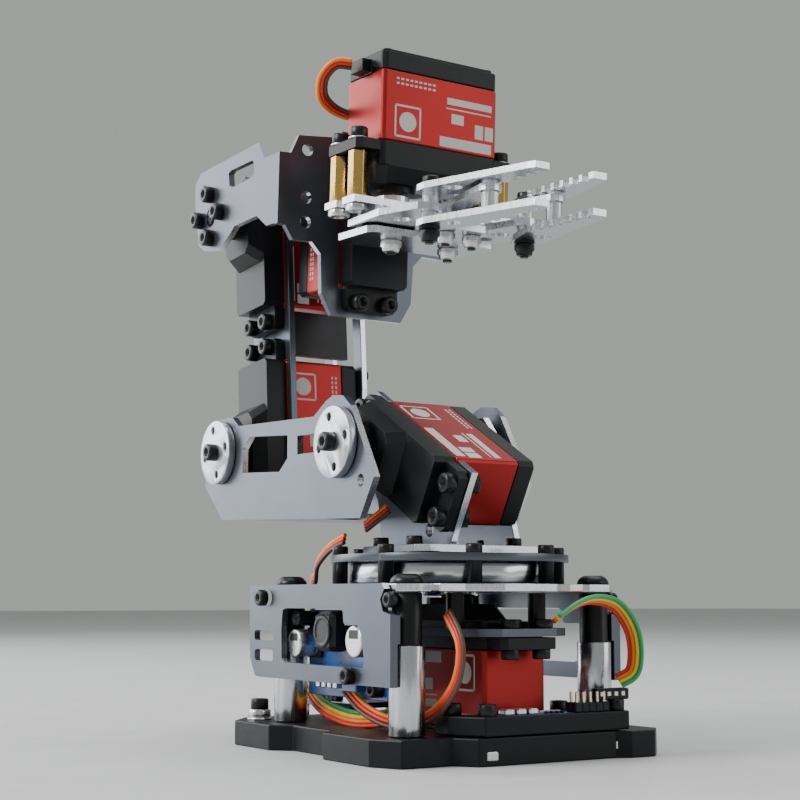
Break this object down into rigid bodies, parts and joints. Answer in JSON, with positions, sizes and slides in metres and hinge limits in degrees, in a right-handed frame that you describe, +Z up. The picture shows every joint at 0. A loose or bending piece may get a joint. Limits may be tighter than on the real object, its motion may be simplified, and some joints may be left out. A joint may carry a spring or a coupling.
{
  "type": "desktop robot arm",
  "caption": "Desktop robot arm on a square turntable base, with two links, a pitching and rolling wrist and a parallel two-finger gripper, all driven by equal servos.",
  "frame": {"origin": "on the floor, under the turntable axis, at the underside of the base plate", "axes": "+X the way the gripper points, +Z up, +Y to the arm's left"},
  "size_m": [0.1599, 0.084, 0.1991],
  "materials": {
    "black_plastic": "fine satin moulding",
    "red_case": "red anodised, satin",
    "sheet_metal": "sandblasted and anodised, bright cut edges",
    "pillar_metal": "turned sleeve over a black tube",
    "bearing_steel": "ground steel",
    "horn_metal": "turned aluminium",
    "gripper_metal": "bright polished sheet",
    "standoff_brass": "machined brass",
    "base_black": "black, satin",
    "circuit_board": "solder mask with bright parts",
    "cable_jacket": "soft wire insulation"
  },
  "bodies": {
    "base": {"base_plate": "base_black", "pillar_rear_near": "pillar_metal", "pillar_front_near": "pillar_metal", "pillar_front_far": "pillar_metal", "pillar_rear_far": "pillar_metal", "top_deck": "sheet_metal", "bearing_outer_race": "bearing_steel", "clamp_ring": "sheet_metal", "side_panel_near": "sheet_metal", "side_panel_far": "sheet_metal", "servo_plate": "sheet_metal", "base_servo_cover": "black_plastic", "base_servo_mid_case": "red_case", "base_servo_gear_case": "black_plastic", "front_tray": "base_black", "bus_board": "circuit_board", "converter_board": "circuit_board", "controller_board": "circuit_board", "shoulder_cable": "cable_jacket", "base_servo_cable": "cable_jacket", "sensor_cable_near": "cable_jacket", "sensor_cable_far": "cable_jacket"},
    "turntable": {"turntable_rotor": "bearing_steel", "shoulder_bracket": "sheet_metal", "shoulder_lead": "cable_jacket", "shoulder_servo_cover": "black_plastic", "shoulder_servo_mid_case": "red_case", "shoulder_servo_gear_case": "black_plastic"},
    "lower_arm": {"lower_link": "sheet_metal", "shoulder_horn": "horn_metal", "elbow_horn": "horn_metal"},
    "upper_arm": {"upper_arm_frame": "sheet_metal", "upper_arm_spine": "sheet_metal", "elbow_servo_cover": "black_plastic", "elbow_servo_mid_case": "red_case", "elbow_servo_gear_case": "black_plastic", "wrist_servo_cover": "black_plastic", "wrist_servo_mid_case": "red_case", "wrist_servo_gear_case": "black_plastic"},
    "wrist": {"wrist_bracket": "sheet_metal", "wrist_horn": "horn_metal", "roll_servo_cover": "black_plastic", "roll_servo_mid_case": "red_case", "roll_servo_gear_case": "black_plastic"},
    "palm": {"roll_horn": "horn_metal", "palm_frame": "gripper_metal", "standoff_near_rear": "standoff_brass", "standoff_near_front": "standoff_brass", "standoff_far_rear": "standoff_brass", "standoff_far_front": "standoff_brass", "gripper_servo_cover": "black_plastic", "gripper_servo_mid_case": "red_case", "gripper_servo_gear_case": "black_plastic", "gripper_cable": "cable_jacket"},
    "drive_lever": {"gear_lever_near": "gripper_metal"},
    "driven_lever": {"gear_lever_far": "gripper_metal"},
    "near_follower": {"follower_link_near": "gripper_metal"},
    "far_follower": {"follower_link_far": "gripper_metal"},
    "near_jaw": {"finger_near": "gripper_metal"},
    "far_jaw": {"finger_far": "gripper_metal"}
  },
  "joints": [
    {"name": "base_yaw", "type": "hinge", "parent": "base", "child": "turntable", "pos_m": [0, 0, 0.05], "axis": [0, 0, 1], "range_deg": [-90, 90]},
    {"name": "shoulder", "type": "hinge", "parent": "turntable", "child": "lower_arm", "pos_m": [-0.011, 0, 0.0847], "axis": [0, 1, 0], "range_deg": [-3, 25]},
    {"name": "elbow", "type": "hinge", "parent": "lower_arm", "child": "upper_arm", "pos_m": [-0.0845, 0, 0.0875], "axis": [0, 1, 0], "range_deg": [-30, 5]},
    {"name": "wrist_pitch", "type": "hinge", "parent": "upper_arm", "child": "wrist", "pos_m": [-0.09, 0, 0.165], "axis": [0, 1, 0], "range_deg": [-35, 5]},
    {"name": "wrist_roll", "type": "hinge", "parent": "wrist", "child": "palm", "pos_m": [-0.02991, 0, 0.16578], "axis": [0.999, 0, -0.0436], "range_deg": [-90, 90]},
    {"name": "grip", "type": "hinge", "parent": "palm", "child": "drive_lever", "pos_m": [-0.01472, -0.01, 0.1515], "axis": [-0.0436, 0, -0.999], "range_deg": [-9, 40]},
    {"name": "far_lever_turn", "type": "hinge", "parent": "palm", "child": "driven_lever", "pos_m": [-0.01472, 0.01, 0.1515], "axis": [-0.0436, 0, -0.999], "range_deg": [-40, 9]},
    {"name": "near_follower_turn", "type": "hinge", "parent": "palm", "child": "near_follower", "pos_m": [0.00546, -0.0045, 0.15062], "axis": [-0.0436, 0, -0.999], "range_deg": [-9, 40]},
    {"name": "far_follower_turn", "type": "hinge", "parent": "palm", "child": "far_follower", "pos_m": [0.00546, 0.0045, 0.15062], "axis": [-0.0436, 0, -0.999], "range_deg": [-40, 9]},
    {"name": "near_jaw_turn", "type": "hinge", "parent": "drive_lever", "child": "near_jaw", "pos_m": [0.01495, -0.0162, 0.15021], "axis": [-0.0436, 0, -0.999], "range_deg": [-40, 9]},
    {"name": "far_jaw_turn", "type": "hinge", "parent": "driven_lever", "child": "far_jaw", "pos_m": [0.01495, 0.0162, 0.15021], "axis": [-0.0436, 0, -0.999], "range_deg": [-9, 40]}
  ],
  "couplings": [
    {"joint": "far_lever_turn", "follows": "grip", "ratio": -1},
    {"joint": "near_follower_turn", "follows": "grip", "ratio": 1},
    {"joint": "far_follower_turn", "follows": "grip", "ratio": -1},
    {"joint": "near_jaw_turn", "follows": "grip", "ratio": -1},
    {"joint": "far_jaw_turn", "follows": "grip", "ratio": 1}
  ]
}
